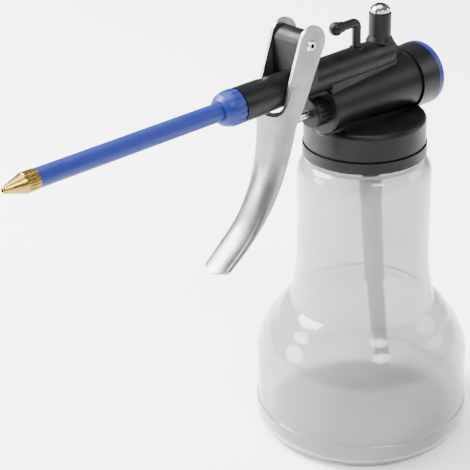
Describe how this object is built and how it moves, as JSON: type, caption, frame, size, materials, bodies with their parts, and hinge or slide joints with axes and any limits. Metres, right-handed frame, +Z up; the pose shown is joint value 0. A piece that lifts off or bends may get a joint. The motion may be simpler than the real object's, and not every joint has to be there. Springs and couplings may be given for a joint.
{
  "type": "hand pump oiler",
  "caption": "Trigger oiler for gear oil: clear bottle, screw-on piston pump head, pressed lever, rigid spout with brass nozzle and a shut-off cock.",
  "frame": {"origin": "centre of the bottle's base, on the surface it rests on", "axes": "+Z up the bottle, -X along the spout towards the nozzle, the pump's axes in the plane y = 0"},
  "size_m": [0.194, 0.081, 0.1687],
  "materials": {
    "clear_plastic": "clear, slightly milky",
    "black_plastic": "moulded, semi-gloss",
    "blue_plastic": "moulded satin blue",
    "hose_plastic": "translucent tube",
    "pressed_steel": "plated pressed sheet",
    "steel": "drawn steel",
    "bright_screw": "bright plated",
    "brass": "turned brass",
    "seal_rubber": "oil-proof rubber",
    "white_plastic": "moulded"
  },
  "bodies": {
    "bottle": {"bottle": "clear_plastic"},
    "gasket": {"neck_gasket": "seal_rubber"},
    "head": {"pump_head": "black_plastic", "gland_nut": "black_plastic", "gland_seal": "seal_rubber", "return_spring": "steel", "rear_cap": "black_plastic", "rear_disc": "blue_plastic", "rear_cap_seal": "seal_rubber", "discharge_spring": "steel", "valve_plug_screw": "bright_screw", "valve_plug_seal": "seal_rubber", "cock_bush": "black_plastic", "suction_valve_body": "black_plastic", "dip_sleeve": "hose_plastic", "dip_tube": "hose_plastic", "spout_nut": "blue_plastic", "spout_washer": "seal_rubber", "spout_tube": "blue_plastic", "nozzle": "brass"},
    "trigger": {"trigger_lever": "pressed_steel", "pivot_pin": "steel"},
    "plunger": {"piston_rod": "steel", "piston": "white_plastic", "piston_seal": "seal_rubber"},
    "cock": {"cock_lever": "black_plastic", "cock_seal": "seal_rubber"},
    "suction_check": {"suction_ball": "steel"},
    "delivery_check": {"discharge_ball": "steel"}
  },
  "joints": [
    {"name": "head_turn", "type": "hinge", "parent": "bottle", "child": "gasket", "pos_m": [0, 0, 0.1204], "axis": [0, 0, 1], "range_deg": [0, 540]},
    {"name": "head_rise", "type": "slide", "parent": "gasket", "child": "head", "axis": [0, 0, 1], "range_m": [0, 0.0061]},
    {"name": "trigger_swing", "type": "hinge", "parent": "head", "child": "trigger", "pos_m": [-0.0346, 0, 0.1621], "axis": [0, -1, 0], "range_deg": [0, 18], "stiffness_Nm_per_rad": 0.05, "springref_deg": -17.19},
    {"name": "piston_slide", "type": "slide", "parent": "head", "child": "plunger", "axis": [1, 0, 0], "range_m": [0, 0.0084], "deforming": ["return_spring"]},
    {"name": "cock_turn", "type": "hinge", "parent": "head", "child": "cock", "pos_m": [-0.005, 0, 0.147], "axis": [0, 0, 1], "range_deg": [0, 90]},
    {"name": "suction_lift", "type": "slide", "parent": "head", "child": "suction_check", "axis": [0, 0, 1], "range_m": [0, 0.002]},
    {"name": "delivery_lift", "type": "slide", "parent": "head", "child": "delivery_check", "axis": [0, 0, 1], "range_m": [0, 0.0012], "stiffness_N_per_m": 30, "springref_m": -0.004, "deforming": ["discharge_spring"]}
  ],
  "couplings": [
    {"joint": "head_rise", "follows": "head_turn", "m_per_rad": 0.00063662},
    {"joint": "piston_slide", "follows": "trigger_swing", "m_per_rad": 0.02655}
  ]
}
